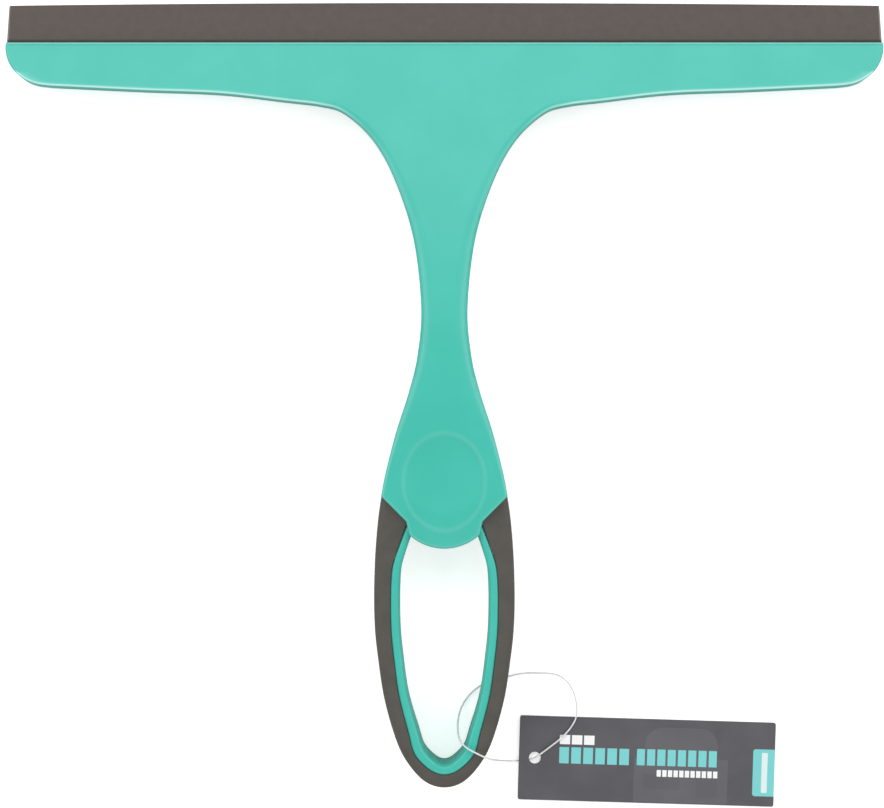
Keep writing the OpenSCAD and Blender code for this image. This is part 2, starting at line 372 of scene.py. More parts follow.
def band(name: str, outer: Array, inner: Array, low: Array, high: Array,
         radii: tuple[float, float, float, float], steps: int = 5) -> bpy.types.Object:
    """Closed bar between two lines in plan, with a rounded box as its section.

    Each corner of the section is a quarter circle about a centre at its radius from both faces,
    and a place at a share of the section's width lies at that share of the way from the outer line
    to the inner one.

    Args:
        name: The object's name.
        outer: Outer line in plan.
        inner: Inner line in plan, place by place.
        low: Height of the underside at each place.
        high: Height of the top at each place.
        radii: Radii of the corners: outer top, inner top, inner bottom, outer bottom.
        steps: Steps in each corner.

    Returns:
        The object, with flat ends.
    """
    width = np.linalg.norm(inner - outer, axis=1)[:, None]
    tall = (high - low)[:, None]
    angle = np.linspace(0, pi / 2, steps + 1)
    across, up = [], []
    for number, (r, right, over) in enumerate(zip(radii, (0, 1, 1, 0), (1, 1, 0, 0))):
        turn = pi - number * pi / 2 - angle
        across.append((width - r if right else r + 0 * width) + r * np.cos(turn))
        up.append((tall - r if over else r + 0 * tall) + r * np.sin(turn))
    share = np.hstack(across)[:, :, None] / width[:, :, None]
    plan = outer[:, None] + (inner - outer)[:, None] * share
    height = low[:, None] + np.hstack(up)
    return tube(name, np.concatenate([plan, height[:, :, None]], axis=2))


# ---------------------------------------------------------------- the squeegee's form


@dataclass
class Form:
    """Sizes and curves that the sub-assemblies share, in millimetres."""

    head_tilt: float = radians(10)
    jaw_t: float = 9
    jaw_d: float = 13
    plate_t: float = 5.6
    head_d: float = 15.5
    rest_strip: float = 4.8
    corner_w: float = 16
    corner_d: float = 14
    neck_w: float = 15.6
    pad_z: float = 25
    end_z: float = 13.6
    grip_w: float = 5.6
    rim_w: float = 3.0
    pad_step: float = 1.4
    dish_w: float = 27.4
    dish_l: float = 32.4
    dish_d: float = 1.6

    def __post_init__(self) -> None:
        """Take the overall sizes from the frame and work out the curves."""
        low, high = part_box("body")
        loop_low, loop_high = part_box("grip")
        self.head_w = (high.x - low.x) / MM
        self.end_y, self.lip_y = loop_low.y / MM, high.y / MM
        self.loop_w = (loop_high.x - loop_low.x) / MM
        self.slope = tan(self.head_tilt)
        self.rear_y = self.lip_y - self.head_d
        self.lip_z = self.jaw_t / 2 * cos(self.head_tilt) - self.rest_strip * sin(self.head_tilt)
        self.plate_z = self.lip_z + self.jaw_t / 2 * cos(self.head_tilt)
        half = self.loop_w / 2
        self.shoulder = (0.8885 * half, self.end_y + 99.6)
        self.inner_corner = (0.537 * half, self.end_y + 91.1)
        self.pad_corner = (0.495 * half, self.end_y + 86.6)
        self.pad_end_y = self.end_y + 81.9
        self.dish_y = self.end_y + 104.4
        self.widest_y = self.end_y + 65.5
        self._side_views()

    def down(self, share: float) -> float:
        """Y at a share of the way from the head's rear edge to the shoulder."""
        return self.rear_y - share * (self.rear_y - self.shoulder[1])

    def _side_views(self) -> None:
        """Work out the heights of the faces along Y."""
        slope, pad_z, down, end_y = self.slope, self.pad_z, self.down, self.end_y
        self.front = profile([
            (self.lip_y + 2, self.plate_z - 2 * slope), (self.lip_y, self.plate_z),
            (self.rear_y - 4, self.plate_z + (self.head_d + 4) * slope),
            (self.rear_y - 20, self.plate_z + (self.head_d + 20) * slope),
            (down(0.31), pad_z - 6.8), (down(0.47), pad_z - 3.5), (down(0.65), pad_z - 0.8),
            (down(0.81), pad_z + 0.2), (self.dish_y, pad_z), (self.pad_end_y + 8, pad_z - 1.4),
            (self.pad_end_y, pad_z - 3.2)])
        self.loop_front = profile([
            (self.dish_y + 8, pad_z - self.pad_step - 0.2),
            (self.shoulder[1], pad_z - self.pad_step - 1.2),
            (self.pad_end_y, pad_z - self.pad_step - 3.6),
            (self.widest_y, pad_z - self.pad_step - 5.6),
            (end_y + 44, self.end_z + 3), (end_y + 20, self.end_z + 1), (end_y, self.end_z)])
        under_z = self.plate_z - self.plate_t / cos(self.head_tilt)
        back = smooth([
            (self.lip_y - self.jaw_d - 2, under_z + (self.jaw_d + 2) * slope),
            (self.rear_y - 6, under_z + (self.head_d + 6) * slope),
            (self.rear_y - 20, under_z + (self.head_d + 20) * slope - 1.2),
            (down(0.31), pad_z - 15.6), (down(0.47), pad_z - 13.6), (down(0.65), pad_z - 12.6),
            (down(0.81), pad_z - 13), (self.dish_y, pad_z - 15.2), (self.pad_end_y, 7.2),
            (self.widest_y, 5.6), (end_y + 50, 5), (end_y + 36, 4.2), (end_y + 27, 2.2),
            (end_y + 19, 0)], steps=64)
        jaws = [(self.lip_y - self.jaw_d, (self.jaw_d - self.rest_strip) * slope),
                (self.lip_y - self.rest_strip, 0), (self.lip_y + 3, 0)]
        self.back = softened([(end_y - 3, 0), *back[::-1].tolist(), *jaws], 0.8)

    def head_outline(self) -> Array:
        """Right half of the outline from the blade's end of the lip to the pad's end.

        Returns:
            Places down the end of the head, around its corner, along its rear edge, through the
            flare and the neck, and along the pad's end to the centre line.
        """
        a = np.radians(np.linspace(0, 75, 26))
        half_w, rear_y, down = self.head_w / 2, self.rear_y, self.down
        corner = np.stack([half_w - self.corner_w + self.corner_w * np.cos(a),
                           rear_y + self.corner_d * (1 - np.sin(a))], axis=1)
        neck, half = self.neck_w / 2, self.loop_w / 2
        edge = smooth([
            (half_w - self.corner_w, rear_y), (0.69 * half_w, rear_y - 1.5),
            (0.51 * half_w, rear_y - 2.6), (54, rear_y - 5.2), (42, rear_y - 6.7),
            (34, rear_y - 9.3), (neck + 16.8, down(0.13)), (neck + 9.4, down(0.225)),
            (neck + 2.85, down(0.37)), (neck, down(0.54)), (neck + 1.15, down(0.66)),
            (0.2 * self.neck_w + 0.368 * half, down(0.75)), (0.676 * half, down(0.845)),
            (0.819 * half, down(0.94)), self.shoulder])
        rise = self.pad_corner[1] - self.pad_end_y
        r = (self.pad_corner[0] ** 2 + rise ** 2) / (2 * rise)
        turn = np.linspace(np.arcsin(self.pad_corner[0] / r), 0, 30)
        arc = np.stack([r * np.sin(turn), self.pad_end_y + r * (1 - np.cos(turn))], axis=1)
        return np.concatenate([[(half_w, self.lip_y)], corner, edge, [self.inner_corner], arc])

    def loop_lines(self) -> tuple[Array, Array, Array]:
        """Lines around the right half of the loop, place by place.

        The seam lies inside the loop's outer edge by the width of the grip, and the opening's edge
        lies inside the seam by the width of the rim.

        Returns:
            The outer edge, the seam and the edge of the opening.
        """
        half, end_y, top_y = self.loop_w / 2, self.end_y, self.shoulder[1]
        edge = smooth([
            self.shoulder, (0.94 * half, top_y - 8.5), (0.982 * half, self.widest_y + 13.5),
            (half, self.widest_y), (0.988 * half, end_y + 54.2), (0.943 * half, end_y + 44),
            (0.855 * half, end_y + 30.2), (0.69 * half, end_y + 16.3), (0.522 * half, end_y + 8.3),
            (0.275 * half, end_y + 2), (0, end_y)], beyond=(-0.275 * half, end_y + 2), steps=12)
        up = edge[:, 1] - end_y
        grip = self.grip_w * (1 - 0.12 * np.maximum(0, 1 - up / 60) - 0.2 * bell(up, 9, 6))
        seam = self._inset(edge, grip + 0.14 * (up - 76 + np.sqrt((up - 76) ** 2 + 9)))
        up = seam[:, 1] - end_y
        rim = self.rim_w * (1 + 0.17 * bell(up, 12, 8) - 0.1 * np.maximum(0, (up - 78) / 10))
        hole = self._inset(seam, rim)
        kept = (seam[:, 0] > 0.01) & (hole[:, 0] > 0.01)
        kept[-1] = True
        return edge[kept], seam[kept], hole[kept]

    @staticmethod
    def _inset(line: Array, by: Array) -> Array:
        """A line moved inwards, straight across where it meets the centre line."""
        normals = inwards(line)
        normals[-1] = (0, 1)
        return line + normals * by[:, None]

    def half_width(self, y: Array) -> Array:
        """Half the width of the head and neck, and no limit past the lip."""
        outline = self.head_outline()[::-1]
        return np.where(y > self.lip_y, np.inf, np.interp(y, outline[:, 1], outline[:, 0]))

    def at_lip(self, out: Array, over: Array) -> tuple[Array, Array]:
        """Y and Z of a place given along the channel, out of the lip and across the jaws."""
        c, s = cos(self.head_tilt), sin(self.head_tilt)
        return self.lip_y + out * c + over * s, self.lip_z - out * s + over * c


def both_sides(line: Array) -> Array:
    """A line of the right half, carried on up the left half as its mirror image."""
    return np.concatenate([line, line[-2::-1] * [-1, 1]])


# ---------------------------------------------------------------- finishes


class NodeTable:
    """Short way to add nodes to a tree and feed their sockets."""

    def __init__(self, tree: bpy.types.NodeTree) -> None:
        """Work on a tree."""
        self.tree = tree

    def add(self, kind: str, feeds: dict[Any, Any] | None = None, **settings: Any
            ) -> bpy.types.Node:
        """Add a node.

        Args:
            kind: The node's type.
            feeds: Value or output socket for each input, by name or number.
            settings: Properties of the node itself.

        Returns:
            The node.
        """
        node = self.tree.nodes.new(kind)
        for key, value in settings.items():
            setattr(node, key, value)
        for key, value in (feeds or {}).items():
            self.feed(node, key, value)
        return node

    def feed(self, node: bpy.types.Node, key: Any, value: Any) -> None:
        """Give one of a node's inputs a value, or a link from an output socket."""
        if isinstance(value, bpy.types.NodeSocket):
            self.tree.links.new(value, node.inputs[key])
        else:
            node.inputs[key].default_value = value

    def math(self, operation: str, *values: Any) -> bpy.types.NodeSocket:
        """Output of a Math node."""
        return self.add("ShaderNodeMath", dict(enumerate(values)), operation=operation).outputs[0]

    def mix(self, share: Any, first: Any, second: Any) -> bpy.types.NodeSocket:
        """Colour between two colours."""
        node = self.add("ShaderNodeMix", {0: share, 6: first, 7: second}, data_type="RGBA")
        return node.outputs[2]


def new_group(name: str, inputs: dict[str, tuple[str, Any]], outputs: dict[str, str]
              ) -> tuple[bpy.types.NodeTree, NodeTable, bpy.types.Node, bpy.types.Node]:
    """Empty shader group with named sockets.

    Args:
        name: Name of the group.
        inputs: Socket type and default of each input.
        outputs: Socket type of each output.

    Returns:
        The group, its table, and its input and output nodes.
    """
    tree = bpy.data.node_groups.new(name, "ShaderNodeTree")
    for title, (kind, value) in inputs.items():
        socket = tree.interface.new_socket(title, in_out="INPUT", socket_type=kind)
        if value is not None:
            socket.default_value = value
    for title, kind in outputs.items():
        tree.interface.new_socket(title, in_out="OUTPUT", socket_type=kind)
    table = NodeTable(tree)
    return tree, table, table.add("NodeGroupInput"), table.add("NodeGroupOutput")


FLOAT, VECTOR, COLOUR = "NodeSocketFloat", "NodeSocketVector", "NodeSocketColor"


def moulding_group() -> bpy.types.NodeTree:
    """Group for a moulded surface: cloudy colour, uneven gloss and a fine grain.

    The cloud is noise at the Cloud scale, which mixes two colours and two roughnesses, and the
    height is finer noise at the Grain scale with a share of the cloud.

    Returns:
        The group.
    """
    tree, table, given, result = new_group("moulding", {
        "Vector": (VECTOR, None), "Colour": (COLOUR, (0.5, 0.5, 0.5, 1)),
        "Second colour": (COLOUR, (0.4, 0.4, 0.4, 1)), "Cloud": (FLOAT, 60.0),
        "Grain": (FLOAT, 2500.0), "Roughness": (FLOAT, 0.4), "Spread": (FLOAT, 0.1),
    }, {"Colour": COLOUR, "Roughness": FLOAT, "Height": FLOAT})
    cloud = table.add("ShaderNodeTexNoise", {
        "Vector": given.outputs["Vector"], "Scale": given.outputs["Cloud"], "Detail": 5.0,
        "Roughness": 0.55})
    grain = table.add("ShaderNodeTexNoise", {
        "Vector": given.outputs["Vector"], "Scale": given.outputs["Grain"], "Detail": 2.0})
    spread = table.add("ShaderNodeMapRange", {
        0: cloud.outputs[0], 1: 0.35, 2: 0.65, 3: 0.0, 4: 1.0}, interpolation_type="SMOOTHSTEP")
    colour = table.mix(spread.outputs[0], given.outputs["Colour"], given.outputs["Second colour"])
    speckle = table.math("MULTIPLY", table.math("SUBTRACT", grain.outputs[0], 0.5), 0.6)
    swing = table.math("ADD", table.math("SUBTRACT", spread.outputs[0], 0.5), speckle)
    rough = table.math("ADD", given.outputs["Roughness"],
                       table.math("MULTIPLY", swing, given.outputs["Spread"]))
    height = table.math("ADD", grain.outputs[0], table.math("MULTIPLY", cloud.outputs[0], 0.8))
    for title, value in (("Colour", colour), ("Roughness", rough), ("Height", height)):
        table.feed(result, title, value)
    return tree


def block_group() -> bpy.types.NodeTree:
    """Group for one printed block with rounded corners, which may be broken into pieces.

    The mask is 1 where a place lies inside the block: its distance from the block's middle, less
    the half size and plus the corner radius, is measured as a rounded box is. Gaps are cut where
    the place's share of the Pitch along X is over the Filled share.

    Returns:
        The group.
    """
    tree, table, given, result = new_group("printed_block", {
        "Vector": (VECTOR, None), "X": (FLOAT, 0.0), "Y": (FLOAT, 0.0), "Half width": (FLOAT, 1.0),
        "Half height": (FLOAT, 1.0), "Corner": (FLOAT, 0.1), "Pitch": (FLOAT, 100.0),
        "Filled": (FLOAT, 2.0)}, {"Mask": FLOAT})
    parts = table.add("ShaderNodeSeparateXYZ", {0: given.outputs["Vector"]})
    corner = given.outputs["Corner"]
    out = []
    for axis, middle, half in ((0, "X", "Half width"), (1, "Y", "Half height")):
        away = table.math("ABSOLUTE", table.math("SUBTRACT", parts.outputs[axis],
                                                 given.outputs[middle]))
        out.append(table.math("ADD", table.math("SUBTRACT", away, given.outputs[half]), corner))
    outside = [table.math("MAXIMUM", value, 0.0) for value in out]
    reach = table.math("SQRT", table.math("ADD", table.math("MULTIPLY", outside[0], outside[0]),
                                          table.math("MULTIPLY", outside[1], outside[1])))
    inside = table.math("MINIMUM", table.math("MAXIMUM", out[0], out[1]), 0.0)
    distance = table.math("SUBTRACT", table.math("ADD", reach, inside), corner)
    fill = table.add("ShaderNodeMapRange", {0: distance, 1: -0.06, 2: 0.06, 3: 1.0, 4: 0.0})
    start = table.math("SUBTRACT", parts.outputs[0], table.math(
        "SUBTRACT", given.outputs["X"], given.outputs["Half width"]))
    part = table.math("FRACT", table.math("DIVIDE", start, given.outputs["Pitch"]))
    gap = table.math("LESS_THAN", part, given.outputs["Filled"])
    table.feed(result, "Mask", table.math("MULTIPLY", fill.outputs[0], gap))
    return tree


class Effects:
    """Shader groups that more than one material uses."""

    def __init__(self) -> None:
        """Build each group once."""
        self.moulding = moulding_group()
        self.block = block_group()


class Finish:
    """A material under way: its table of nodes, its shader and its moulding group."""

    def __init__(self, name: str, moulding: bpy.types.NodeTree, values: dict[str, Any]) -> None:
        """Start a material whose colour and roughness come from the moulding group.

        Args:
            name: The material's name.
            moulding: The shared group.
            values: The group's own values for this material.
        """
        self.material = bpy.data.materials.new(name)
        self.material.use_nodes = True
        self.table = NodeTable(self.material.node_tree)
        self.shader = self.material.node_tree.nodes["Principled BSDF"]
        self.place = self.table.add("ShaderNodeTexCoord").outputs["Object"]
        self.look = self.table.add("ShaderNodeGroup", {"Vector": self.place, **values},
                                   node_tree=moulding)
        self.colour = self.look.outputs["Colour"]
        self.feed("Roughness", self.look.outputs["Roughness"])

    def feed(self, title: str, value: Any) -> None:
        """Give one of the shader's sockets a value or an output socket."""
        self.table.feed(self.shader, title, value)

    def bump(self, strength: float, distance: float) -> None:
        """Raise the surface by the moulding group's height."""
        node = self.table.add("ShaderNodeBump", {
            "Height": self.look.outputs["Height"], "Strength": strength, "Distance": distance})
        self.feed("Normal", node.outputs[0])

    def done(self) -> bpy.types.Material:
        """The finished material, with its last colour on the shader."""
        self.feed("Base Color", self.colour)
        return self.material


@dataclass(frozen=True)
class Moulded:
    """A moulded finish: plastic, soft grip or rubber.

    Further out along X than end_at the cut ends' colour shows, in metres. Lower along Y than the
    shade line's place, also in metres, the colour turns dark: a painted shade that stands for the
    shadow in the channel's mouth. The highlight share is how much of a pale colour the edges
    marked in the mesh take: a painted highlight where their rounding catches the light.
    """

    name: str
    colour: Colour
    second: Colour
    roughness: float
    spread: float
    cloud: float
    grain: float
    bump: float
    specular: float = 0.5
    sheen: float = 0.0
    end_at: float = 0.0
    end_colour: Colour = (0.5, 0.5, 0.5, 1)
    # Where the painted shade at the channel's mouth ends along Y, and its dark colour.
    shade_line_at: float = 0.0
    painted_shade_colour: Colour = (0.010, 0.014, 0.013, 1)
    # Share and pale colour of the painted highlight on the edges marked in the mesh.
    painted_highlight: float = 0.0
    highlight_colour: Colour = (0.62, 0.95, 0.90, 1)

    def build(self, effects: Effects) -> bpy.types.Material:
        """Make the material.

        Args:
            effects: The shared groups.

        Returns:
            The material.
        """
        finish = Finish(self.name, effects.moulding, {
            "Colour": self.colour, "Second colour": self.second, "Cloud": self.cloud,
            "Grain": self.grain, "Roughness": self.roughness, "Spread": self.spread})
        table, blur, fade = finish.table, 0.0001, 0.0008
        if self.end_at > 0:
            parts = table.add("ShaderNodeSeparateXYZ", {0: finish.place})
            away = table.math("ABSOLUTE", parts.outputs[0])
            mask = table.add("ShaderNodeMapRange", {
                0: away, 1: self.end_at - blur, 2: self.end_at + blur, 3: 0.0, 4: 1.0})
            finish.colour = table.mix(mask.outputs[0], finish.colour, self.end_colour)
            # Painted shade: just past the lip the blade's colour turns dark, standing in for the
            # shadow in the channel's mouth.
            mouth = table.add("ShaderNodeMapRange", {
                0: parts.outputs[1], 1: self.shade_line_at, 2: self.shade_line_at + fade, 3: 0.85, 4: 0.0})
            finish.colour = table.mix(mouth.outputs[0], finish.colour, self.painted_shade_colour)
        # Painted highlight: the edges marked in the mesh turn towards a pale colour, standing in
        # for the light that their rounding catches.
        if self.painted_highlight > 0:
            edge = table.add("ShaderNodeAttribute", attribute_name=EDGE).outputs["Fac"]
            share = table.math("MULTIPLY", edge, self.painted_highlight)
            finish.colour = table.mix(share, finish.colour, self.highlight_colour)
        finish.bump(self.bump, 0.0002)
        finish.feed("Specular IOR Level", self.specular)
        finish.feed("Sheen Weight", self.sheen)
        return finish.done()


@dataclass(frozen=True)
class PrintedBlock:
    """One printed block on the tag, in millimetres from the hole along the tag."""

    x: float
    y: float
    half_w: float
    half_h: float
    colour: Colour
    corner: float = 0.3
    pitch: float = 200.0
    filled: float = 2.0
    strength: float = 1.0


@dataclass(frozen=True)
class PrintedCard:
    """Printed card: a plain ground with faint panels, rows of blocks and a coloured tab."""

    name: str = "printed_card"
    ground: Colour = (0.086, 0.084, 0.094, 1)
    second: Colour = (0.096, 0.094, 0.104, 1)
    blocks: tuple[PrintedBlock, ...] = ()
    bump: float = 0.05

    def build(self, effects: Effects, hole: tuple[float, float], turn: float
              ) -> bpy.types.Material:
        """Make the material.

        Args:
            effects: The shared groups.
            hole: Place of the tag's hole in metres, which the print is measured from.
            turn: The tag's turn about the hole, in radians.

        Returns:
            The material.
        """
        finish = Finish(self.name, effects.moulding, {
            "Colour": self.ground, "Second colour": self.second, "Cloud": 70.0, "Grain": 4000.0,
            "Roughness": 0.42, "Spread": 0.12})
        table = finish.table
        along = table.add("ShaderNodeMapping", {
            "Vector": finish.place, "Location": (hole[0], hole[1], 0),
            "Rotation": (0, 0, turn), "Scale": (MM, MM, MM)}, vector_type="TEXTURE")
        for block in self.blocks:
            share = table.add("ShaderNodeGroup", {
                "Vector": along.outputs[0], "X": block.x, "Y": block.y,
                "Half width": block.half_w, "Half height": block.half_h, "Corner": block.corner,
                "Pitch": block.pitch, "Filled": block.filled}, node_tree=effects.block).outputs[0]
            if block.strength < 1:
                share = table.math("MULTIPLY", share, block.strength)
            finish.colour = table.mix(share, finish.colour, block.colour)
        finish.bump(self.bump, 0.0001)
        return finish.done()


@dataclass(frozen=True)
class ClearNylon:
    """Clear nylon with a faint milky unevenness."""

    name: str = "clear_nylon"
    colour: Colour = (0.93, 0.94, 0.94, 1)
    second: Colour = (0.97, 0.98, 0.98, 1)
    clear: float = 0.3
    ior: float = 1.53

    def build(self, effects: Effects) -> bpy.types.Material:
        """Make the material from the shared groups."""
        finish = Finish(self.name, effects.moulding, {
            "Colour": self.colour, "Second colour": self.second, "Cloud": 400.0, "Grain": 6000.0,
            "Roughness": 0.2, "Spread": 0.1})
        finish.feed("Transmission Weight", self.clear)
        finish.feed("IOR", self.ior)
        return finish.done()


def dress(piece: bpy.types.Object, material: bpy.types.Material) -> None:
    """Give a piece or a CAD node one material in place of what it has."""
    slots = piece.data.materials
    if len(slots) == 0:
        slots.append(material)
    for k in range(len(slots)):
        slots[k] = material


def hand_over(piece: bpy.types.Object, material: bpy.types.Material, node: str, body: Body,
              slot: Slot) -> None:
    """Dress a finished piece and put it in its CAD node's place.

    Args:
        piece: The finished piece.
        material: Its finish.
        node: The CAD node that it stands for.
        body: The body that it moves with.
        slot: Not used.
    """
    dress(piece, material)
    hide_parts(node)
    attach(piece, body.value)
    log.info("%s made", piece.name)


# ---------------------------------------------------------------- sub-assemblies


@dataclass
class Studio:
    """Camera, pale floor and soft lights."""

    camera_at: tuple[float, float, float] = (-0.0008, -0.0039, 0.650)
    lens: float = 76.6
    floor: Colour = (0.90, 0.90, 0.89, 1)
    dull: Colour = (0.6, 0.6, 0.6, 1)
    floor_half: float = 3.0
    floor_z: float = -0.0003
    glow: float = 0.5
    sky: float = 0.45
    lights: tuple[tuple[str, tuple[float, float, float], tuple[float, float], float], ...] = (
        ("back_softbox", (0.0, 0.85, 1.10), (1.8, 0.8), 7.2),
        ("left_softbox", (-1.25, 0.3, 0.85), (1.4, 1.0), 8.8),
        ("right_softbox", (1.25, 0.3, 0.85), (1.4, 1.0), 8.8),
        ("front_softbox", (0.0, -1.15, 0.85), (1.6, 0.6), 4.9))

    def camera(self) -> None:
        """Make the camera, which looks straight down."""
        data = bpy.data.cameras.new("camera")
        data.sensor_fit = "HORIZONTAL"
        data.sensor_width = 36.0
        data.lens = self.lens
        camera = linked("camera", data)
        camera.location = self.camera_at
        bpy.context.scene.camera = camera

    @staticmethod
    def light(name: str, place: tuple[float, float, float], size: tuple[float, float],
              power: float) -> None:
        """Make one soft rectangular light, which faces the origin.

        Args:
            name: The light's name.
            place: Where it hangs, in metres.
            size: Its width and height in metres.
            power: Its power in watts.
        """
        data = bpy.data.lights.new(name, "AREA")
        data.shape = "RECTANGLE"
        data.size, data.size_y = size
        data.energy = power
        lamp = linked(name, data)
        lamp.location = place
        lamp.rotation_euler = (-Vector(place)).to_track_quat("-Z", "Y").to_euler()

    def floor_finish(self) -> bpy.types.Material:
        """Pale floor, which glows for the camera alone and is duller for every other ray."""
        material = bpy.data.materials.new("pale_floor")
        material.use_nodes = True
        table = NodeTable(material.node_tree)
        shader = material.node_tree.nodes["Principled BSDF"]
        seen = table.add("ShaderNodeLightPath").outputs["Is Camera Ray"]
        for title, value in (
                ("Roughness", 0.9), ("Specular IOR Level", 0.1), ("Emission Color", (1, 1, 1, 1)),
                ("Emission Strength", table.math("MULTIPLY", seen, self.glow)),
                ("Base Color", table.mix(seen, self.dull, self.floor))):
            table.feed(shader, title, value)
        return material

    def build(self) -> None:
        """Make the floor, the lights and the pale surroundings."""
        mesh = bpy.data.meshes.new("floor")
        r, z = self.floor_half, self.floor_z
        mesh.from_pydata([(-r, -r, z), (r, -r, z), (r, r, z), (-r, r, z)], [], [(0, 1, 2, 3)])
        mesh.materials.append(self.floor_finish())
        linked("floor", mesh)
        scene = bpy.context.scene
        scene.world = bpy.data.worlds.new("pale_world")
        scene.world.use_nodes = True
        sky = scene.world.node_tree.nodes["Background"]
        sky.inputs["Color"].default_value = (1, 1, 1, 1)
        sky.inputs["Strength"].default_value = self.sky
        scene.view_settings.view_transform = "Standard"
        for name, place, size, power in self.lights:
            self.light(name, place, size, power)


@dataclass
class MouldedBody:
    """Head, neck, thumb pad and loop rim, moulded in one."""

    form: Form
    columns: int = 80
    core_wall: float = 2.4
    core_skin: float = 4.2
    rib_t: float = 1.8
    rib_pitch: float = 19
    web_d: float = 6
    bead_t: float = 4.8
    bead_d: float = 3
    blade_t: float = 2.8
    gap: float = 0.15
    rim_rise: float = 0.25
    rim_radii: tuple[float, float, float, float] = (1.1, 1.5, 0.5, 0.5)
    pocket_corner: float = 1.6
    back_edge: float = 0.8
    fillet: float = 0.08
    edge_line: float = 0.7
    edge_rise: float = 0.14
    edge_y: tuple[float, ...] = (-60, -36, -24, -8, 10, 30, 55, 78, 92, 99, 104)
    edge_across: tuple[float, ...] = (0.9, 0.9, 1.6, 3.0, 4.3, 4.9, 4.4, 3.0, 2.3, 1.5, 1.0)
    edge_down: tuple[float, ...] = (0.8, 0.8, 1.1, 1.8, 2.3, 2.5, 2.3, 1.8, 1.4, 1.1, 0.9)
    # Strength of the painted highlight along the neck, the lip and the dish's edge, and how far
    # below the front face it reaches.
    neck_highlight: float = 0.12
    lip_highlight: float = 0.45
    dish_highlight: float = 0.08
    highlight_depth: float = 1.1

    def top(self, x: Array, y: Array) -> Array:
        """Front face: the side view's height, or the dish where that is lower.

        The dish is part of a large sphere, and the two heights meet in a small fillet: with h for
        half their difference, the height is their mean less the square root of h^2 + k^2. A fine
        raised line runs around the dish's edge, as a bell curve of the distance from it.
        """
        form = self.form
        r = ((form.dish_w / 2) ** 2 + form.dish_d ** 2) / (2 * form.dish_d)
        flat = form.front(y)
        along = (y - form.dish_y) * form.dish_w / form.dish_l
        away = np.minimum(x ** 2 + along ** 2, r ** 2 * 0.9)
        ball = form.pad_z - form.dish_d + r - np.sqrt(r ** 2 - away)
        h = (ball - flat) / 2
        edge = bell(np.sqrt(away), form.dish_w / 2, self.edge_line)
        return (ball + flat) / 2 - np.sqrt(h ** 2 + self.fillet ** 2) + self.edge_rise * edge

    def bottom(self, x: Array, y: Array) -> Array:
        """Face beneath: the side view's height."""
        return self.form.back(y) + 0 * x

    def ceiling(self, x: Array, y: Array) -> Array:
        """Ceiling of the pockets, under the front skin."""
        return self.form.front(y) - self.core_skin + 0 * x

    def shield(self) -> bpy.types.Object:
        """Head, neck and pad as one slab with rounded edges."""
        form = self.form
        spacing = profile([(-60, 0.6), (-12, 0.6), (0, 1.2), (90, 1.2), (97, 1.6), (106, 1.2),
                           (130, 1.0)])
        side = respaced(form.head_outline(), spacing)
        normals = inwards(side)
        normals[0] = (-1, -1)
        normals[1] = (-1, 0)
        normals[-1] = (0, 1)
        at_lip = [(form.lip_y - 6, 1.1), (form.lip_y + 1, 1.2)]
        across, down = (profile([*zip(self.edge_y, sizes), *at_lip])(side[:, 1])
                        for sizes in (self.edge_across, self.edge_down))
        small = np.full(len(side), self.back_edge)
        layers = rounding(across, down, self.top, -1) + rounding(small, small, self.bottom, 1)[::-1]
        return slab("handle_body", side, normals, self.columns, layers)

    def rim(self) -> bpy.types.Object:
        """Bead between the grip and the opening, whose two ends lie inside the pad."""
        form = self.form
        _, seam, hole = form.loop_lines()
        outer, inner = both_sides(seam), both_sides(hole)
        y = (outer[:, 1] + inner[:, 1]) / 2
        low = np.maximum(form.back(y), 0)
        high = form.loop_front(y) + self.rim_rise
        return band("rim", outer, inner, low, high, self.rim_radii)

    def channel(self) -> bpy.types.Object:
        """Cutter for the blade's channel, with a slightly flared mouth."""
        form, g = self.form, self.gap
        neck, wide = self.blade_t / 2 + g, self.bead_t / 2 + g
        half = np.array([(2, neck + 1.4), (0, neck + 0.3), (-0.4, neck), (-self.web_d + g, neck),
                         (-self.web_d + g, wide), (-self.web_d - self.bead_d - g, wide)])
        section = np.concatenate([half, half[::-1] * [1, -1]])
        y, z = form.at_lip(section[:, 0], section[:, 1])
        reach = form.head_w / 2 + 2
        return tube("channel", np.array([np.column_stack([np.full(len(y), x), y, z])
                                         for x in (-reach, reach)]))

    def pockets(self) -> list[bpy.types.Object]:
        """Cutters for the pockets in the back of the neck, one between each pair of ribs.

        Each pocket follows the outline inside the wall, with rounded corners, and its mouth flares
        through layers given as inset and height over the back.

        Returns:
            The cutters.
        """
        form, corner = self.form, self.pocket_corner
        first, last = form.dish_y - 6, form.rear_y - 26
        outline = form.head_outline()
        order = np.argsort(outline[:, 1])
        starts = np.arange(first, last - self.rib_t, self.rib_pitch)
        cutters = []
        for number, start in enumerate(starts):
            low = start + (self.rib_t if number else 0)
            high = min(start + self.rib_pitch, last)
            y = np.linspace(high, low, 41)
            x = np.interp(y, outline[order, 1], outline[order, 0]) - self.core_wall
            near = np.clip(corner - np.minimum(high - y, y - low), 0, corner)
            side = np.column_stack([x - (corner - np.sqrt(corner ** 2 - near ** 2)), y])
            normals = inwards(side)
            normals[0], normals[-1] = (0, -1), (0, 1)
            one = np.ones(len(side))
            mouth = ((0, 0.7), (-0.15, 0.25), (-0.6, 0.0), (-0.9, -3))
            layers = rounding(one, one, self.ceiling, -1) + [
                Layer(inset * one, self.bottom, lift * one) for inset, lift in mouth]
            cutters.append(slab(f"pocket_{number}", side, normals, 12, layers))
        return cutters

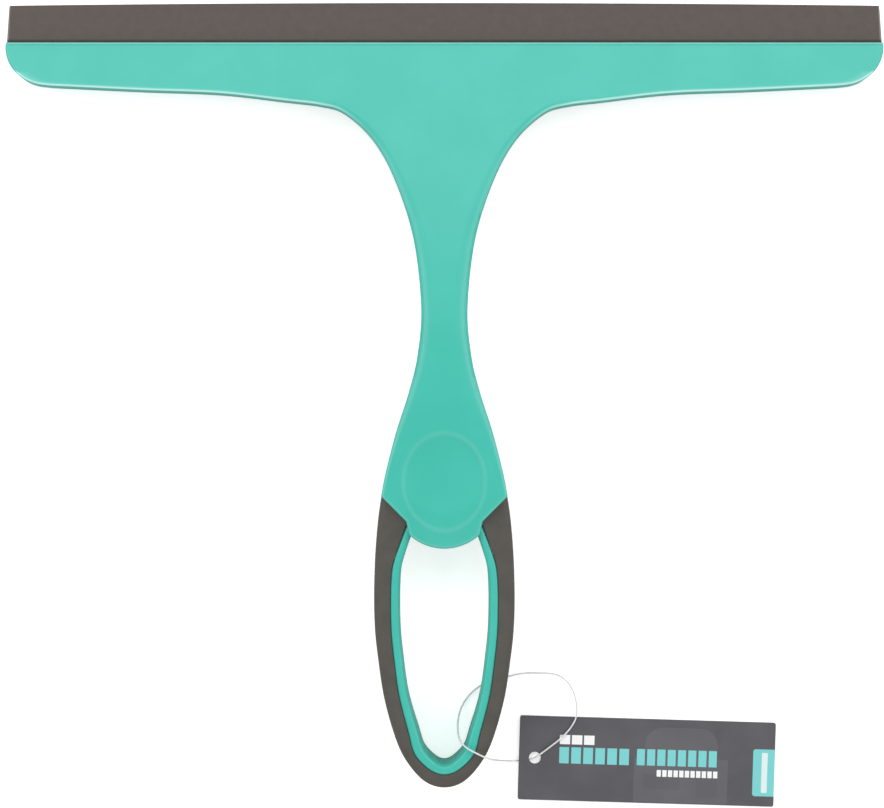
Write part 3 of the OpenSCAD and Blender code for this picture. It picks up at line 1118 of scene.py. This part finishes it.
    def paint_edge_highlight(self, piece: bpy.types.Object) -> None:
        """Paint a highlight along the rounded upper edges, as an attribute of the mesh: a pale
        painted highlight that stands in for the light these edges catch.

        The painted highlight is a bell curve of the distance inside the outline, which fades out at
        the outline itself. It is strongest along the head's rear edge and weaker along the neck,
        the lip and the dish's edge. The distance is taken along the normal at the closest place of
        the outline, in batches that keep the table of distances small.

        Args:
            piece: The finished body.
        """
        form, batches = self.form, 40
        places = np.empty(len(piece.data.vertices) * 3, dtype=np.float32)
        piece.data.vertices.foreach_get("co", places)
        x, y, z = (places.reshape(-1, 3) / MM).astype(float).T
        x = np.abs(x)
        line = respaced(form.head_outline(), profile([(-60, 0.6), (140, 0.6)]))
        normals, near = inwards(line), np.empty(len(x))
        for part in np.array_split(np.arange(len(x)), batches):
            away = np.stack([x[part], y[part]], axis=1)[:, None] - line[None]
            closest = np.hypot(away[..., 0], away[..., 1]).argmin(axis=1)
            near[part] = (away[np.arange(len(part)), closest] * normals[closest]).sum(axis=1)
        # Painted highlight along the rounded upper edges, strongest at the head's rear edge.
        rear = np.clip((x - 24) / 20, self.neck_highlight, 1) * (y < form.rear_y + 5)
        highlight_share = rear * bell(near, 0.45, 0.4) * np.clip(near / 0.3, 0, 1)
        behind = form.lip_y - y
        highlight_share += self.lip_highlight * bell(behind, 0.35, 0.35) * np.clip(behind / 0.25, 0, 1)
        along = (y - form.dish_y) * form.dish_w / form.dish_l
        highlight_share += self.dish_highlight * bell(np.hypot(x, along), form.dish_w / 2, 0.6)
        highlight_share *= z > form.front(y) - self.highlight_depth
        layer = piece.data.attributes.new(EDGE, "FLOAT", "POINT")
        layer.data.foreach_set("value", np.clip(highlight_share, 0, 1).astype(np.float32))

    def build(self, finish: bpy.types.Material) -> None:
        """Make the body from its parts, cut the channel and the pockets, and dress it."""
        piece = self.shield()
        combined(piece, "UNION", self.rim(), CREASE)
        combined(piece, "DIFFERENCE", self.channel(), CREASE)
        for cutter in self.pockets():
            combined(piece, "DIFFERENCE", cutter, CREASE)
        # Painted highlight on the upper edges, kept as a mesh attribute.
        self.paint_edge_highlight(piece)
        hand_over(piece, finish, "body", Body.SQUEEGEE, Slot.PLASTIC)


@dataclass
class GripBand:
    """Soft band moulded around the loop, from one side of the pad to the other."""

    form: Form
    radii: tuple[float, float, float, float] = (2.9, 0.5, 0.6, 2.2)
    gap: float = 0.02
    settle: float = 3.2
    below_rim: float = 0.15

    def lines(self) -> tuple[Array, Array]:
        """Outer and inner line of the right half, which start on the pad's slanting edge.

        The inner line's places near the pad are taken again between its crossing with the slanting
        edge and a place further on, so that the band's first section lies along that edge. That
        place is the settle number of times as far along as the crossing.

        Returns:
            The outer line and the inner line, place by place.
        """
        edge, seam, _ = self.form.loop_lines()
        a, b = np.array(self.form.shoulder), np.array(self.form.inner_corner)
        way = unit(b - a)
        out = np.array([-way[1], way[0]])
        side = (seam - a) @ out
        cross = int(np.argmax(side > 0))
        share = side[cross - 1] / (side[cross - 1] - side[cross])
        start = cross - 1 + share
        until = self.settle * start
        index = np.arange(len(seam), dtype=float)
        taken = np.where(index < until, start + (until - start) * index / until, index)
        inner = np.stack([np.interp(taken, index, seam[:, k]) for k in (0, 1)], axis=1)
        inner -= inwards(seam) * self.gap
        shift = np.clip(1 - index / until, 0, 1)[:, None] * out * self.gap
        return edge + shift, inner + shift

    def build(self, finish: bpy.types.Material) -> None:
        """Make the band and dress it."""
        form = self.form
        outer, inner = (both_sides(line) for line in self.lines())
        y = (outer[:, 1] + inner[:, 1]) / 2
        low = np.maximum(form.back(y), 0)
        high = form.loop_front(y) - self.below_rim
        piece = band("soft_grip_band", outer, inner, low, high, self.radii, 8)
        hand_over(piece, finish, "grip", Body.SQUEEGEE, Slot.GRIP)


@dataclass
class WiperBlade:
    """Rubber blade with a bead that locks it in the channel."""

    form: Form
    out: float = 14.7
    thick: float = 2.8
    tip_thick: float = 1.8
    bead_t: float = 4.8
    bead_d: float = 3
    web_d: float = 6
    crown: float = 1.0
    stations: int = 61

    def build(self, finish: bpy.types.Material) -> None:
        """Make the blade and dress it.

        The rounded section is carried along X. Its reach out of the lip is less towards the ends
        by the crown times the square of the share of the half length, and its length is a little
        less at the wiping edge, which rounds that edge's corners.
        """
        root = -self.web_d - self.bead_d
        half = [(self.out, self.tip_thick / 2), (0, self.thick / 2), (-self.web_d, self.thick / 2),
                (-self.web_d, self.bead_t / 2), (root, self.bead_t / 2)]
        corners = half + [(a, -b) for a, b in half[::-1]]
        bends = (0.3, 1.0, 0.3, 0.5, 0.7)
        section = rounded(corners, bends + bends[::-1])
        share = np.linspace(-1, 1, self.stations)
        out, over = section[:, 0], section[:, 1]
        reach = np.clip(out / self.out, 0, 1)
        end = self.form.head_w / 2 - 0.4 * np.clip((reach - 0.93) / 0.07, 0, 1) ** 2
        end = np.minimum(end, self.form.half_width(self.form.at_lip(out, over)[0]) - 0.2)
        y, z = self.form.at_lip(out[None] - self.crown * share[:, None] ** 2 * reach, over[None])
        piece = tube("rubber_blade", np.stack([share[:, None] * end, y, z], axis=-1))
        hand_over(piece, finish, "blade", Body.WIPER, Slot.RUBBER)


@dataclass
class HangTag:
    """Card tag on a nylon thread, whose two ends meet in a barbed lock.

    The hole and the route are in millimetres, and are measured along Y from the loop's end.
    """

    form: Form
    thread_d: float = 0.0006
    hole: tuple[float, float] = (31.2, 8.3)
    turn: float = radians(-1.8)
    route: tuple[tuple[float, float, float], ...] = (
        (19.9, 35.6, 1.3), (21.7, 36.2, 1.3), (25, 37, 0.7), (28.5, 37.4, 0.35),
        (32.5, 37.4, 0.35), (36, 37.3, 0.35), (39.2, 36.7, 0.5), (42.2, 34.7, 1),
        (44.4, 31.4, 1.6), (45.4, 27.9, 1.8), (45.7, 24.9, 1.8), (45.2, 21.7, 1.75),
        (43.2, 18.3, 1.75), (40.2, 15.1, 1.8), (36.6, 12.3, 1.9), (34.2, 10.5, 1.95),
        (32.4, 9.2, 1.7), (31.2, 8.3, 1.05), (30, 7.8, 0.6), (28, 7.4, 0.35), (25.4, 7.2, 0.4),
        (22.8, 7.3, 1.6), (20.8, 7.8, 4), (19, 8.5, 7.2), (17.3, 9.3, 10.8), (15.5, 10.2, 14),
        (13.4, 11.2, 15.3), (11, 12.4, 15.7), (8.7, 13.6, 15.8), (6.9, 14.8, 15.5),
        (5.6, 16.1, 14.2), (4.9, 17.3, 11.2), (4.6, 18.9, 7.4), (4.7, 21.5, 3.8), (5.5, 24.7, 1.7),
        (6.9, 27.5, 0.8), (9.2, 30.5, 0.9), (12.4, 33.1, 1.3), (14.2, 33.7, 1.3))

    def thread(self, effects: Effects) -> bpy.types.Material:
        """Make the thread as a round cord along its route.

        Args:
            effects: The shared groups.

        Returns:
            The nylon, which the lock shares.
        """
        line = (smooth(self.route, steps=4) + [0, self.form.end_y, 0]) * MM
        length = float(np.linalg.norm(np.diff(line, axis=0), axis=1).sum())
        data = bpy.data.curves.new("nylon_thread", "CURVE")
        data.dimensions = "3D"
        data.bevel_depth = self.thread_d / 2
        data.bevel_resolution = 3
        data.use_fill_caps = True
        spline = data.splines.new("POLY")
        spline.points.add(len(line) - 1)
        spline.points.foreach_set("co", np.column_stack([line, np.ones(len(line))]).ravel())
        piece = linked("nylon_thread", data)
        nylon = ClearNylon().build(effects)
        hand_over(piece, nylon, "tag_thread", Body.SQUEEGEE, Slot.NYLON)
        tuple(line[0])
        log.info("%s: %.1f mm long", piece.name, length / MM)
        return nylon

    def build(self, effects: Effects, nylon: bpy.types.Material) -> None:
        """Dress the tag and its lock."""
        white, turquoise = (0.86, 0.87, 0.87, 1), (0.19, 0.60, 0.60, 1)
        faint, dark = (0.16, 0.16, 0.175, 1), (0.08, 0.08, 0.09, 1)
        card = PrintedCard(blocks=(
            PrintedBlock(50.5, -6.5, 16.2, 7.6, faint, 0.2, strength=0.35),
            PrintedBlock(50.5, 5.2, 12.5, 6.5, faint, 6.0, strength=0.3),
            PrintedBlock(43.8, -7.0, 6.4, 2.6, dark, 0.1, strength=0.3),
            PrintedBlock(59.5, -8.5, 3.6, 3.6, dark, 0.1, strength=0.25),
            PrintedBlock(14.6, 6.6, 6.2, 1.6, white, 0.5, 4.2, 0.86),
            PrintedBlock(20.8, 1.2, 12.4, 2.8, turquoise, 0.3, 4.15, 0.80),
            PrintedBlock(49.3, 1.3, 14.1, 2.8, turquoise, 0.3, 3.55, 0.78),
            PrintedBlock(52.9, -4.1, 10.7, 1.15, white, 0.3, 1.95, 0.76),
            PrintedBlock(80.0, -2.9, 4.6, 8.1, turquoise, 0.9),
            PrintedBlock(79.4, -2.9, 1.0, 6.9, white, 0.3, strength=0.75)))
        hole = (self.hole[0] * MM, (self.hole[1] + self.form.end_y) * MM)
        dress(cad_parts["hang_tag"], card.build(effects, hole, self.turn))
        for node in ("tag_lock_socket", "tag_lock_tip"):
            dress(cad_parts[node], nylon)
        log.info("hang_tag and its lock dressed")


# The plastic takes a painted highlight along the edges marked in its mesh.
PLASTIC = Moulded("turquoise_plastic", (0.046, 0.475, 0.385, 1), (0.052, 0.495, 0.405, 1),
                  roughness=0.30, spread=0.0, cloud=45.0, grain=700.0, bump=0.0, painted_highlight=0.8)
GRIP = Moulded("taupe_soft_grip", (0.073, 0.068, 0.058, 1), (0.086, 0.080, 0.069, 1),
               roughness=0.62, spread=0.12, cloud=120.0, grain=3200.0, bump=0.12, specular=0.35,
               sheen=0.05)
# The rubber takes a painted shade where it comes out of the channel's mouth.
RUBBER = Moulded("mottled_rubber", (0.078, 0.062, 0.054, 1), (0.092, 0.074, 0.065, 1),
                 roughness=0.55, spread=0.14, cloud=260.0, grain=2200.0, bump=0.06, specular=0.4,
                 end_at=0.1494, end_colour=(0.2, 0.19, 0.18, 1), shade_line_at=0.1206)


def main() -> None:
    """Make the squeegee and its studio."""
    logging.basicConfig(level=logging.INFO, format="%(name)s: %(message)s")
    studio = Studio()
    studio.camera()
    effects = Effects()
    form = Form()
    tag = HangTag(form)
    nylon = tag.thread(effects)
    tag.build(effects, nylon)
    MouldedBody(form).build(PLASTIC.build(effects))
    GripBand(form).build(GRIP.build(effects))
    WiperBlade(form).build(RUBBER.build(effects))
    studio.build()


if __name__ == "__main__":
    main()
